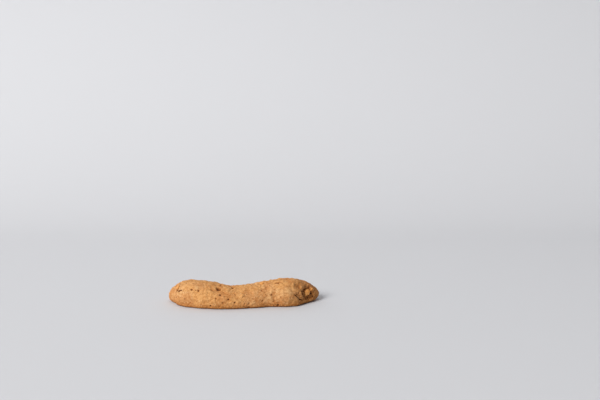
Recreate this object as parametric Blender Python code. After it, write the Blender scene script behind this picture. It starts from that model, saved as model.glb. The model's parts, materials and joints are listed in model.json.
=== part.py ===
"""A hazelnut cookie: one hand-rolled finger of nut dough, bent to a slight crescent and baked on a flat tray.

The part is one solid, with its coarse pieces of hazelnut fused in. Its length runs along X, the convex side
of the bend faces -Y, and it rests on z = 0 with its origin under the middle of its bounding box.
Everything is worked out in millimetres and turned to metres when the mesh is finished.
"""

import math
import random

import bmesh
import bpy
from mathutils import Matrix, Vector, noise

METRE = 0.001

# The rolled finger of dough. Each row is one station along the length:
# x, how far the middle line stands back from the front of the bend, half width, height.
HALF_LENGTH = 45.0
STATIONS = (
    (-45.0, 19.4, 10.6, 12.0),
    (-37.0, 19.2, 11.0, 13.0),
    (-29.0, 14.8, 11.6, 13.6),
    (-19.0, 11.4, 11.4, 13.1),
    (-10.0, 10.2, 11.0, 11.2),
    (4.0, 11.3, 10.6, 11.8),
    (14.0, 13.4, 10.1, 13.3),
    (26.0, 14.2, 10.8, 14.8),
    (36.0, 18.4, 11.0, 12.9),
    (45.0, 21.0, 10.0, 10.8),
)

# How each blunt end closes: over what length the plan, the top and the foot come in,
# and how high its underside curls off the tray over what length.
LEFT_END = {"plan": 17.0, "top": 15.5, "foot": 4.5, "curl": 0.5, "curl_length": 6.0}
RIGHT_END = {"plan": 15.0, "top": 14.5, "foot": 5.0, "curl": 1.2, "curl_length": 13.0}

# The right end was pinched off, which leaves its front corner cut back to a slanting face.
PINCH_START = 26.5
PINCH_FULL = 34.5
PINCH_SHARE = 0.33

# The cross-section: a flat foot, a small round at the tray and a domed back.
WIDEST_SHARE = 0.29
FOOT_ROUND = 1.8
FOOT_ROUND_SHARE = 0.45
DOME_POWER = 2.15

# Mesh spacing.
RING_STEP = 0.96
TIP_REACH = 7.0
TIP_RINGS = 9
DOME_POINTS = 34
FOOT_POINTS = 4

# Unevenness of the hand-rolled, baked surface: size of the lumps and how far they stand out.
# At the foot they stand out by a share of that, which rises to the whole over the first stretch of height.
LUMPS = ((13.0, 0.42), (5.2, 0.30), (2.3, 0.16))
LUMP_SHIFT = (7.3, 1.9)
FOOT_SHARE = 0.35
FOOT_FADE = 1.6
FLAT_UNDER = 0.12

# Places on the surface are given as x and a turn in degrees: 0 is the hollow side of the bend,
# 90 the top and 180 the bulging side.
# The direction out of the surface at a place is taken over this reach along x and this turn.
OUTWARD_REACH = 0.5
OUTWARD_TURN = 4.0

# Swellings: place, length, rise. The first is the knuckle beside the pinched end.
SWELLINGS = (((23.5, 168), 4.6, 0.8), ((-16.0, 40), 7.0, 0.4), ((35.0, 40), 6.0, 0.35))

# Steam holes and dents: place, radius, depth.
DENTS = (
    ((-14.4, 126), 3.2, 0.75),
    ((-13.2, 117), 1.40, 1.30),
    ((-5.6, 104), 1.40, 0.70),
    ((-26.4, 141), 1.20, 0.55),
    ((-22.7, 141), 1.20, 0.45),
    ((-12.0, 146), 1.20, 0.50),
    ((-8.0, 164), 1.25, 0.50),
    ((-4.6, 172), 1.25, 0.45),
    ((-34.4, 149), 1.70, 0.80),
    ((2.6, 178), 1.30, 0.60),
    ((16.4, 159), 1.30, 0.45),
    ((26.6, 144), 1.60, 0.45),
    ((31.0, 60), 2.20, 0.80),
    ((-30.0, 52), 1.60, 0.90),
    ((8.0, 35), 1.70, 0.80),
)
SCATTERED_DENTS = 30
DENT_RADIUS = (1.15, 1.65)
DENT_DEPTH_SHARE = (0.22, 0.42)
DENT_LAST_X = 41.0
DENT_TURNS = (12.0, 168.0)
DENT_TURN_SWAY = 8.0
DENT_SEED = 11

# Creases, each a run of places with a width and a depth. A depth below 0 stands out as a lip.
# Both ends of a crease have this share of its full depth.
CREASE_END_SHARE = 0.45
CREASES = (
    (((27.2, 160), (29.2, 168), (31.6, 178)), 1.40, 1.15),
    (((28.8, 154), (30.8, 164), (33.4, 176)), 1.70, -0.75),
    (((20.1, 179), (19.8, 172), (19.0, 160)), 1.50, 0.50),
    (((-4.0, 42), (0.5, 50), (3.0, 46), (6.5, 54)), 1.40, 0.75),
    (((-40.5, 60), (-38.6, 78), (-39.4, 92)), 1.30, 0.60),
)

# Broken-open hollows: place, radius, depth.
HOLLOWS = (((36.2, 160), 4.4, 1.9), ((-22.0, 33), 3.0, 1.2), ((10.5, 96), 2.0, 0.7))
# The floor reaches out to the first share of the radius and the wall ends at the second. The ragged
# edge wanders by a share of the radius, and a low lip stands round it.
HOLLOW_WALL = (0.55, 1.05)
HOLLOW_RAGGED = 0.22
HOLLOW_RAGGED_SIZE = 1.8
HOLLOW_RAGGED_SHIFT = (3.1, 8.8, 0.4)
HOLLOW_LIP = 0.30
HOLLOW_LIP_AT = 1.12
HOLLOW_LIP_WIDTH = 0.22

# The larger pieces of hazelnut, in the hollows and at the left end: place, half sizes, and how far
# the middle of the piece stands out of the smooth dough.
LARGE_NUTS = (
    ((36.0, 161), (3.0, 2.4, 2.3), -1.5),
    ((39.7, 141), (1.5, 1.2, 1.1), -0.5),
    ((-22.0, 33), (2.1, 1.7, 1.5), -1.1),
    ((-34.3, 135), (1.5, 1.2, 1.0), 0.1),
    ((10.5, 96), (1.5, 1.3, 1.1), -0.6),
)
LARGE_NUT_CORNERS = 26

# The chopped bits that show through the crust, spread by the golden ratio. Their other two half sizes
# are shares of the first.
NUT_BITS = 24
NUT_BIT_HALF = (1.30, 0.80)
NUT_BIT_BREADTH = (0.70, 0.95)
NUT_BIT_THICKNESS = (0.55, 0.80)
NUT_BIT_LAST_X = 42.0
NUT_BIT_TURNS = (8.0, 172.0)
NUT_BIT_START = 0.13
NUT_BIT_OUT = -0.20
NUT_BIT_CORNERS = 14

# How far a corner of a broken piece of nut strays round it, and in and out.
NUT_CORNER_SWAY = 0.3
NUT_CORNER_REACH = (0.82, 1.08)
NUT_SEED = 5
GOLDEN = (math.sqrt(5) - 1) / 2


def station_values(x):
    """Middle line, half width and height at x, on a smooth curve through the stations."""
    last = len(STATIONS) - 1
    x = min(max(x, STATIONS[0][0]), STATIONS[last][0])
    i = 0
    while i < last - 1 and x > STATIONS[i + 1][0]:
        i += 1
    a = STATIONS[i]
    b = STATIONS[i + 1]
    before = STATIONS[max(i - 1, 0)]
    after = STATIONS[min(i + 2, last)]
    span = b[0] - a[0]
    t = (x - a[0]) / span
    values = []
    for k in (1, 2, 3):
        slope_a = (b[k] - before[k]) / (b[0] - before[0]) * span
        slope_b = (after[k] - a[k]) / (after[0] - a[0]) * span
        start = (2 * t**3 - 3 * t**2 + 1) * a[k] + (t**3 - 2 * t**2 + t) * slope_a
        end = (3 * t**2 - 2 * t**3) * b[k] + (t**3 - t**2) * slope_b
        values.append(start + end)
    return values


def round_off(distance, length):
    """0 at the tip, rising along a quarter ellipse to 1 at the given distance from it."""
    left = max(0.0, 1.0 - distance / length)
    return math.sqrt(max(0.0, 1.0 - left * left))


def smooth_step(low, high, value):
    t = min(1.0, max(0.0, (value - low) / (high - low)))
    return t * t * (3 - 2 * t)


class Section:
    """The upright slice of dough at x, square to its middle line."""

    def __init__(self, x):
        middle, half_width, height = station_values(x)
        step = 0.5
        slope = (station_values(x + step)[0] - station_values(x - step)[0]) / (2 * step)
        end = LEFT_END if x < 0 else RIGHT_END
        distance = HALF_LENGTH - abs(x)
        self.centre = Vector((x, middle, 0.0))
        self.side = Vector((-slope, 1.0, 0.0)).normalized()
        self.wide = half_width * round_off(distance, end["plan"])
        self.front = self.wide * (1.0 - PINCH_SHARE * smooth_step(PINCH_START, PINCH_FULL, x))
        self.widest = height * WIDEST_SHARE
        self.top = self.widest + (height - self.widest) * round_off(distance, end["top"])
        curl = end["curl"] * max(0.0, 1.0 - distance / end["curl_length"]) ** 2
        self.low = self.widest - (self.widest - curl) * round_off(distance, end["foot"])

    def at(self, across, up):
        return self.centre + self.side * across + Vector((0, 0, up))

    def dome(self, turn):
        """A point on the domed back. turn is in radians, 0 on the hollow side and pi on the bulging side."""
        reach = self.wide if math.cos(turn) >= 0 else self.front
        across = math.copysign(reach * abs(math.cos(turn)) ** (2.0 / DOME_POWER), math.cos(turn))
        up = max(0.0, math.sin(turn)) ** (2.0 / DOME_POWER)
        return self.at(across, self.widest + (self.top - self.widest) * up)

    def foot(self, hollow_side, turn):
        """A point on the small round between the foot, at pi / 2, and the widest place, at 0."""
        reach = self.wide if hollow_side else self.front
        inset = min(FOOT_ROUND, FOOT_ROUND_SHARE * reach)
        across = reach - inset + inset * math.cos(turn)
        up = self.widest - (self.widest - self.low) * math.sin(turn)
        return self.at(across if hollow_side else -across, up)

    def outline(self):
        """The closed ring of points: up the hollow side, over the dome and down the bulging side."""
        quarter = math.pi / 2
        rise = [self.foot(True, quarter * (1 - k / FOOT_POINTS)) for k in range(FOOT_POINTS)]
        over = [self.dome(math.pi * k / DOME_POINTS) for k in range(DOME_POINTS + 1)]
        fall = [self.foot(False, quarter * (k + 1) / FOOT_POINTS) for k in range(FOOT_POINTS)]
        return rise + over + fall


def place(spot):
    """The point of the smooth dough at (x, turn in degrees)."""
    x, turn = spot
    return Section(x).dome(math.radians(turn))


def outward(spot):
    """The direction straight out of the smooth dough at a place."""
    x, turn = spot
    along = place((x + OUTWARD_REACH, turn)) - place((x - OUTWARD_REACH, turn))
    over = place((x, turn + OUTWARD_TURN)) - place((x, turn - OUTWARD_TURN))
    return over.cross(along).normalized()


def ring_places():
    """Where the rings stand along x: even along the body, and closing up towards each tip."""
    straight = HALF_LENGTH - TIP_REACH
    count = round(2 * straight / RING_STEP)
    body = [-straight + 2 * straight * k / count for k in range(count + 1)]
    tip = [TIP_REACH * (1.0 - math.cos(math.pi / 2 * k / TIP_RINGS)) for k in range(1, TIP_RINGS)]
    return [-HALF_LENGTH + d for d in tip] + body + [HALF_LENGTH - d for d in reversed(tip)]


def rolled_dough():
    """The smooth finger of dough, skinned ring by ring and closed with a fan at each tip."""
    mesh = bmesh.new()
    rings = [[mesh.verts.new(point) for point in Section(x).outline()] for x in ring_places()]
    around = len(rings[0])
    for near, far in zip(rings, rings[1:]):
        for k in range(around):
            after = (k + 1) % around
            mesh.faces.new((near[k], near[after], far[after], far[k]))
    for ring, x in ((rings[0], -HALF_LENGTH), (rings[-1], HALF_LENGTH)):
        middle, _, height = station_values(x)
        pole = mesh.verts.new((x, middle, height * WIDEST_SHARE))
        for k in range(around):
            mesh.faces.new((ring[k], ring[(k + 1) % around], pole))
    bmesh.ops.recalc_face_normals(mesh, faces=mesh.faces)
    return mesh


def scattered_dents():
    """Small steam holes all over, spread by the golden ratio so that no stretch is left bare."""
    draw = random.Random(DENT_SEED)
    first_turn, last_turn = DENT_TURNS
    dents = []
    for k in range(SCATTERED_DENTS):
        x = DENT_LAST_X * (2 * (k + 0.5) / SCATTERED_DENTS - 1)
        turn = first_turn + (last_turn - first_turn) * ((k * GOLDEN) % 1.0)
        turn += draw.uniform(-DENT_TURN_SWAY, DENT_TURN_SWAY)
        radius = draw.uniform(*DENT_RADIUS)
        dents.append(((x, turn), radius, radius * draw.uniform(*DENT_DEPTH_SHARE)))
    return dents


def distance_to_run(point, run):
    """How far a point is from a run of straight pieces, and 0 to 1 along it."""
    best = (1e9, 0.0)
    for k, (a, b) in enumerate(zip(run, run[1:])):
        along = b - a
        t = min(1.0, max(0.0, (point - a).dot(along) / along.length_squared))
        gap = (point - a - along * t).length
        best = min(best, (gap, (k + t) / (len(run) - 1)))
    return best


def surface_relief():
    """A function that gives how far the baked surface stands out from the smooth dough at a point."""
    swellings = [(place(spot), length, rise) for spot, length, rise in SWELLINGS]
    dents = [(place(spot), radius, depth) for spot, radius, depth in list(DENTS) + scattered_dents()]
    creases = [([place(spot) for spot in run], width, depth) for run, width, depth in CREASES]
    hollows = [(place(spot), radius, depth) for spot, radius, depth in HOLLOWS]

    def relief(point):
        rise = sum(height * noise.noise(point / size + Vector((*LUMP_SHIFT, size))) for size, height in LUMPS)
        for centre, length, height in swellings:
            rise += height * math.exp(-(((point - centre).length / length) ** 2))
        for centre, radius, depth in dents:
            gap = (point - centre).length / radius
            if gap < 1.0:
                rise -= depth * (1.0 - gap * gap) ** 1.5
        for run, width, depth in creases:
            gap, along = distance_to_run(point, run)
            if gap < width:
                share = CREASE_END_SHARE + (1.0 - CREASE_END_SHARE) * math.sin(math.pi * along)
                rise -= depth * (1.0 - gap / width) * share
        for centre, radius, depth in hollows:
            stray = noise.noise(point / HOLLOW_RAGGED_SIZE + Vector(HOLLOW_RAGGED_SHIFT))
            gap = (point - centre).length / (radius * (1.0 + HOLLOW_RAGGED * stray))
            rise += HOLLOW_LIP * math.exp(-(((gap - HOLLOW_LIP_AT) / HOLLOW_LIP_WIDTH) ** 2))
            rise -= depth * (1.0 - smooth_step(*HOLLOW_WALL, gap))
        return rise

    return relief


def bake_surface(mesh):
    """Moves the smooth dough out and in to its baked relief, and leaves the foot flat on the tray."""
    relief = surface_relief()
    mesh.normal_update()
    moved = []
    for vert in mesh.verts:
        share = FOOT_SHARE + (1.0 - FOOT_SHARE) * smooth_step(0.0, FOOT_FADE, vert.co.z)
        point = vert.co + vert.normal * relief(vert.co) * share
        on_foot = vert.co.z < FLAT_UNDER
        point.z = vert.co.z if on_foot else max(point.z, 0.0)
        moved.append(point)
    for vert, point in zip(mesh.verts, moved):
        vert.co = point


def nut_piece(half_sizes, corners, draw):
    """A broken piece of hazelnut: the convex hull of points on an uneven ball."""
    piece = bmesh.new()
    for k in range(corners):
        height = 1 - 2 * (k + 0.5) / corners
        ring = math.sqrt(1 - height * height)
        swing = 2 * math.pi * GOLDEN * k + draw.uniform(-NUT_CORNER_SWAY, NUT_CORNER_SWAY)
        size = draw.uniform(*NUT_CORNER_REACH)
        piece.verts.new(
            (
                half_sizes[0] * size * ring * math.cos(swing),
                half_sizes[1] * size * ring * math.sin(swing),
                half_sizes[2] * size * height,
            )
        )
    hull = bmesh.ops.convex_hull(piece, input=piece.verts)
    spare = {item for item in hull["geom_interior"] + hull["geom_unused"] if isinstance(item, bmesh.types.BMVert)}
    bmesh.ops.delete(piece, geom=list(spare), context="VERTS")
    bmesh.ops.recalc_face_normals(piece, faces=piece.faces)
    return piece


def nut_pieces():
    """The place, half sizes, corner count and stand-out of every piece of hazelnut, the largest first."""
    draw = random.Random(NUT_SEED)
    pieces = [(spot, sizes, LARGE_NUT_CORNERS, out) for spot, sizes, out in LARGE_NUTS]
    largest, smallest = NUT_BIT_HALF
    first_turn, last_turn = NUT_BIT_TURNS
    for k in range(NUT_BITS):
        x = NUT_BIT_LAST_X * (2 * ((k * GOLDEN + NUT_BIT_START) % 1.0) - 1)
        turn = first_turn + (last_turn - first_turn) * ((k + 0.5) / NUT_BITS)
        half = largest + (smallest - largest) * ((k * GOLDEN * GOLDEN) % 1.0)
        sizes = (half, half * draw.uniform(*NUT_BIT_BREADTH), half * draw.uniform(*NUT_BIT_THICKNESS))
        pieces.append(((x, turn), sizes, NUT_BIT_CORNERS, NUT_BIT_OUT))
    return sorted(pieces, key=lambda piece: -piece[1][0])


def add_object(name, mesh, material):
    """Turns a bmesh in millimetres into an object in metres."""
    bmesh.ops.scale(mesh, vec=(METRE, METRE, METRE), verts=mesh.verts)
    data = bpy.data.meshes.new(name)
    mesh.to_mesh(data)
    mesh.free()
    if material:
        data.materials.append(material)
    made = bpy.data.objects.new(name, data)
    bpy.context.scene.collection.objects.link(made)
    return made


def press_in_nuts(cookie):
    """Fuses the pieces of hazelnut to the dough with one Boolean union."""
    draw = random.Random(NUT_SEED)
    nuts = bpy.data.collections.new("nut_pieces")
    bpy.context.scene.collection.children.link(nuts)
    for k, (spot, sizes, corners, out) in enumerate(nut_pieces()):
        piece = nut_piece(sizes, corners, draw)
        upright = outward(spot).to_track_quat("Z", "X").to_matrix()
        turned = upright @ Matrix.Rotation(draw.uniform(0, 2 * math.pi), 3, "Z")
        centre = place(spot) + outward(spot) * out
        bmesh.ops.transform(piece, matrix=Matrix.Translation(centre) @ turned.to_4x4(), verts=piece.verts)
        made = add_object(f"nut_{k}", piece, None)
        bpy.context.scene.collection.objects.unlink(made)
        nuts.objects.link(made)
    union = cookie.modifiers.new("press in", "BOOLEAN")
    union.operation = "UNION"
    union.operand_type = "COLLECTION"
    union.collection = nuts
    union.solver = "EXACT"
    with bpy.context.temp_override(object=cookie, active_object=cookie):
        bpy.ops.object.modifier_apply(modifier=union.name)
    for made in list(nuts.objects):
        bpy.data.objects.remove(made)
    bpy.data.collections.remove(nuts)


def rest_on_origin(cookie):
    """Puts the origin on the tray, under the middle of the bounding box."""
    low = Vector([min(vert.co[k] for vert in cookie.data.vertices) for k in range(3)])
    high = Vector([max(vert.co[k] for vert in cookie.data.vertices) for k in range(3)])
    middle = (low + high) / 2
    cookie.data.transform(Matrix.Translation((-middle.x, -middle.y, -low.z)))


def clear_scene():
    for thing in list(bpy.data.objects):
        bpy.data.objects.remove(thing)


def baked_dough_material():
    material = bpy.data.materials.new("baked_dough")
    material.use_nodes = True
    shader = material.node_tree.nodes["Principled BSDF"]
    shader.inputs["Base Color"].default_value = (0.58, 0.30, 0.12, 1.0)
    shader.inputs["Roughness"].default_value = 0.85
    shader.inputs["Metallic"].default_value = 0.0
    return material


def main():
    clear_scene()
    dough = rolled_dough()
    bake_surface(dough)
    cookie = add_object("hazelnut_cookie", dough, baked_dough_material())
    press_in_nuts(cookie)
    rest_on_origin(cookie)


main()
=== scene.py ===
import json
import math
import random

import bmesh
import bpy
from mathutils import Matrix, Vector

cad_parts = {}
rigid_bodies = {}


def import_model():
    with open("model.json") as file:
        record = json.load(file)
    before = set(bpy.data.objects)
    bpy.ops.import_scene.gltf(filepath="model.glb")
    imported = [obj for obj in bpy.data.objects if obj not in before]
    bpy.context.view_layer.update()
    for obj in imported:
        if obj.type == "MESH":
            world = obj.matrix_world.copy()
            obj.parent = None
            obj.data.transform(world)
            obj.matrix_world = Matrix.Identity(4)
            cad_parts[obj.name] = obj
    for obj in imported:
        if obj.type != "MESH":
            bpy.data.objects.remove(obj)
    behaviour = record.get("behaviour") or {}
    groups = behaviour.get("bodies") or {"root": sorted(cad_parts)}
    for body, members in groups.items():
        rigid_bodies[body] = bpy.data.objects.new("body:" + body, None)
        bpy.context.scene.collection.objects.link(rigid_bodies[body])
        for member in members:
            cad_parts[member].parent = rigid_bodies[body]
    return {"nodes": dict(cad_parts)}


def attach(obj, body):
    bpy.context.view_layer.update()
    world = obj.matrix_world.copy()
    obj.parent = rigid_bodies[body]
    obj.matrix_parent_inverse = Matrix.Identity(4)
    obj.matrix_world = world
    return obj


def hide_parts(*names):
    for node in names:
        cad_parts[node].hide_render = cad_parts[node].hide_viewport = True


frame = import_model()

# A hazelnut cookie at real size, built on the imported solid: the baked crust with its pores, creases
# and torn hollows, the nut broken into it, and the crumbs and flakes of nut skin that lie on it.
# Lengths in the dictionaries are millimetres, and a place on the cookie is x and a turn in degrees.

mm = 0.001
goldenShare = (math.sqrt(5) - 1) / 2
view = {                                # the photograph's camera, in millimetres and degrees
    "place": (22.5, -479.3, 135.1),
    "pitchDown": 8.7,
    "turnRight": 1.3,
    "lens": 50.0,
}
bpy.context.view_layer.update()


# Small helpers

def linearColor(code):
    # sRGB hex to the linear values that sockets take
    parts = [int(code[k:k + 2], 16) / 255 for k in (1, 3, 5)]
    return tuple(c / 12.92 if c <= 0.04045 else ((c + 0.055) / 1.055) ** 2.4 for c in parts) + (1.0,)


def addNode(tree, kind, inputs=None, give=0, **settings):
    # adds a node; an input is a value or the socket it is linked from; gives back one of its outputs
    node = tree.nodes.new(kind)
    for name, value in settings.items():
        setattr(node, name, value)
    for key, value in (inputs or {}).items():
        if isinstance(value, bpy.types.NodeSocket):
            tree.links.new(value, node.inputs[key])
        else:
            node.inputs[key].default_value = value
    return node.outputs[give] if len(node.outputs) else node


def newObject(name, data):
    made = bpy.data.objects.new(name, data)
    bpy.context.scene.collection.objects.link(made)
    return made


def meshFrom(name, form):
    # turns a bmesh into a mesh
    mesh = bpy.data.meshes.new(name)
    form.to_mesh(mesh)
    form.free()
    return mesh


def plainPiece(piece):
    # swaps the piece's mesh for what its modifiers make of it, and takes them off
    bpy.context.view_layer.update()
    depsgraph = bpy.context.evaluated_depsgraph_get()
    made = piece.evaluated_get(depsgraph)
    mesh = bpy.data.meshes.new_from_object(made, preserve_all_data_layers=True, depsgraph=depsgraph)
    piece.modifiers.clear()
    old = piece.data
    piece.data = mesh
    bpy.data.meshes.remove(old)
    mesh.name = piece.name


socketKinds = (
    (float, "NodeSocketFloat"),
    (int, "NodeSocketInt"),
    (bpy.types.Object, "NodeSocketObject"),
    (bpy.types.Collection, "NodeSocketCollection"),
    (bpy.types.Material, "NodeSocketMaterial"),
)


def geometryTree(name, values):
    # a geometry tree with a named input for each value; gives back the tree and its inputs' sockets
    tree = bpy.data.node_groups.new(name, "GeometryNodeTree")
    tree.interface.new_socket("Geometry", in_out="INPUT", socket_type="NodeSocketGeometry")
    for label, value in values.items():
        kind = next(kind for valueType, kind in socketKinds if isinstance(value, valueType))
        tree.interface.new_socket(label, in_out="INPUT", socket_type=kind)
    tree.interface.new_socket("Geometry", in_out="OUTPUT", socket_type="NodeSocketGeometry")
    return tree, addNode(tree, "NodeGroupInput").node.outputs


def closeTree(tree, geometry, material):
    # the end of every tree: real geometry, with its material
    whole = addNode(tree, "GeometryNodeRealizeInstances", {0: geometry})
    dressed = addNode(tree, "GeometryNodeSetMaterial", {0: whole, 2: material})
    addNode(tree, "NodeGroupOutput", {0: dressed})


def runTree(piece, tree, values):
    modifier = piece.modifiers.new(tree.name, "NODES")
    modifier.node_group = tree
    for item in tree.interface.items_tree:
        if item.in_out == "INPUT" and item.name in values:
            modifier[item.identifier] = values[item.name]
    plainPiece(piece)
    count = sum(len(face.vertices) - 2 for face in piece.data.polygons)
    print(f"{piece.name}: {count} triangles")


# The rolled finger of dough, by the solid's own rule. A place on it is x and a turn in degrees: 0 is
# the hollow side of the bend, 90 the top and 180 the bulging side. Past 180 it goes on straight down.

finger = {
    "halfLength": 45.0,
    "stations": (                       # x, middle line, half width, height
        (-45.0, 19.4, 10.6, 12.0),
        (-37.0, 19.2, 11.0, 13.0),
        (-29.0, 14.8, 11.6, 13.6),
        (-19.0, 11.4, 11.4, 13.1),
        (-10.0, 10.2, 11.0, 11.2),
        (4.0, 11.3, 10.6, 11.8),
        (14.0, 13.4, 10.1, 13.3),
        (26.0, 14.2, 10.8, 14.8),
        (36.0, 18.4, 11.0, 12.9),
        (45.0, 21.0, 10.0, 10.8),
    ),
    "leftEnd": (17.0, 15.5),            # over what length the plan and the top close at the tip
    "rightEnd": (15.0, 14.5),
    "pinch": (26.5, 34.5, 0.33),        # start, full, and the share that the front corner is cut back
    "widestShare": 0.29,                # at what share of its height it is widest
    "domePower": 2.15,                  # 2 is a round top, and more is a flatter one
    "dropPerDegree": 0.1,               # past 180 degrees
    "boxMiddle": (0.065, 13.601),       # the middle of the finished cookie's box
    "nearby": (0.5, 4.0),               # steps along x and in turn that give the outward direction
}


def stationValues(x):
    stations = finger["stations"]
    last = len(stations) - 1
    x = min(max(x, stations[0][0]), stations[last][0])
    i = 0
    while i < last - 1 and x > stations[i + 1][0]:
        i += 1
    a, b = stations[i], stations[i + 1]
    before, after = stations[max(i - 1, 0)], stations[min(i + 2, last)]
    span = b[0] - a[0]
    t = (x - a[0]) / span
    values = []
    for k in (1, 2, 3):
        slopeA = (b[k] - before[k]) / (b[0] - before[0]) * span
        slopeB = (after[k] - a[k]) / (after[0] - a[0]) * span
        start = (2 * t**3 - 3 * t**2 + 1) * a[k] + (t**3 - 2 * t**2 + t) * slopeA
        values.append(start + (3 * t**2 - 2 * t**3) * b[k] + (t**3 - t**2) * slopeB)
    return values


def smoothStep(low, high, value):
    t = min(1.0, max(0.0, (value - low) / (high - low)))
    return t * t * (3 - 2 * t)


def roundOff(distance, length):
    left = max(0.0, 1.0 - distance / length)
    return math.sqrt(max(0.0, 1.0 - left * left))


def crustSpot(x, turn):
    # the point of the smooth dough at a place
    middle, halfWidth, height = stationValues(x)
    step = finger["nearby"][0]
    slope = (stationValues(x + step)[0] - stationValues(x - step)[0]) / (2 * step)
    side = Vector((-slope, 1.0, 0.0)).normalized()
    distance = finger["halfLength"] - abs(x)
    planLength, topLength = finger["leftEnd"] if x < 0 else finger["rightEnd"]
    pinchStart, pinchFull, pinchShare = finger["pinch"]
    wide = halfWidth * roundOff(distance, planLength)
    front = wide * (1.0 - pinchShare * smoothStep(pinchStart, pinchFull, x))
    widest = height * finger["widestShare"]
    top = widest + (height - widest) * roundOff(distance, topLength)
    angle = math.radians(min(turn, 180.0))
    power = 2.0 / finger["domePower"]
    reach = wide if math.cos(angle) >= 0 else front
    across = math.copysign(reach * abs(math.cos(angle)) ** power, math.cos(angle))
    up = widest + (top - widest) * max(0.0, math.sin(angle)) ** power
    up -= finger["dropPerDegree"] * max(0.0, turn - 180.0)
    boxX, boxY = finger["boxMiddle"]
    return Vector((x - boxX, middle - boxY, 0.0)) + side * across + Vector((0.0, 0.0, up))


def crustOutward(x, turn):
    stepX, stepTurn = finger["nearby"]
    along = crustSpot(x + stepX, turn) - crustSpot(x - stepX, turn)
    over = crustSpot(x, turn + stepTurn) - crustSpot(x, turn - stepTurn)
    return over.cross(along).normalized()


# Materials. paintLayers lays one colour after another over the first, each where its value rises
# from low to high.

def startMaterial(name):
    material = bpy.data.materials.new(name)
    material.use_nodes = True
    tree = material.node_tree
    tree.nodes.clear()
    return material, tree, addNode(tree, "ShaderNodeTexCoord", give="Object")


def paintLayers(tree, first, layers):
    color = linearColor(first)
    for value, low, high, most, tint in layers:
        share = addNode(
            tree, "ShaderNodeMapRange", {0: value, 1: low, 2: high, 4: most},
            interpolation_type="SMOOTHSTEP",
        )
        color = addNode(
            tree, "ShaderNodeMix", {0: share, 6: color, 7: linearColor(tint)}, give=2, data_type="RGBA"
        )
    return color


def closeMaterial(tree, look, color, pattern, relief, height):
    # roughness varies with the pattern, and fine relief stands out by its height; dry food and paper
    # alike are near an IOR of 1.45
    least, most = look["roughness"]
    rough = addNode(tree, "ShaderNodeMapRange", {0: pattern, 1: 0.3, 2: 0.7, 3: least, 4: most})
    bump = addNode(tree, "ShaderNodeBump", {"Strength": 1.0, "Distance": height * mm, "Height": relief})
    surface = addNode(tree, "ShaderNodeBsdfPrincipled", {
        "Base Color": color, "Roughness": rough, "Normal": bump,
        "IOR": 1.45, "Specular IOR Level": look["gloss"],
    })
    addNode(tree, "ShaderNodeOutputMaterial", {"Surface": surface})


doughLook = {
    "golden": "#d1985b",                # the dry, lit crust
    "floury": "#daaf7d",                # where it stayed palest
    "toasted": "#bd7a40",               # where the oven browned it
    "edge": "#b9722f",                  # along the tray
    "crease": "#a0632f",                # painted shade between the grains, in cracks and in shallow pores
    "pitShade": "#5c3012",                   # painted shade deep inside pores and holes, and along the very foot
    "torn": "#a2662f",                  # moist crumb where the dough broke open, darkened as painted shade in the hollows; also the right end's browning and painted shade
    "cream": "#f0cfa2",                 # ground nut at the surface
    "skin": "#7d4c28",                  # ground nut skin
    "flourySize": 16.0,                 # stretches that the oven left pale
    "patchSize": 8.0,                   # and that it browned
    "mottleSize": 2.6,                  # lumps of the dough
    "speckSize": 0.9,                   # ground nut
    "speckStray": 0.35,                 # how raggedly the specks are bounded
    "sandSize": 0.45,                   # sugar and flour
    "browning": (4.2, 0.6),             # heights between which the side browns towards the tray
    "footShadeLine": (1.2, 0.1),                  # painted contact shadow at the very foot
    "rightEnd": (24.0, 30.0, 0.60),     # from where to where each end browns, and how much; at the right end partly browning, partly painted shade of the facet turned from the light
    "rightShadeLean": 0.35,                  # the browned and painted-shade right end is cut off aslant, along the line where its facet turns from the light
    "leftEnd": (-37.0, -45.0, 0.35),
    "roughness": (0.80, 0.92),
    "gloss": 0.25,
    "grit": (0.26, 0.11),               # size and height of the finest grit, which is only bump
}


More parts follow.
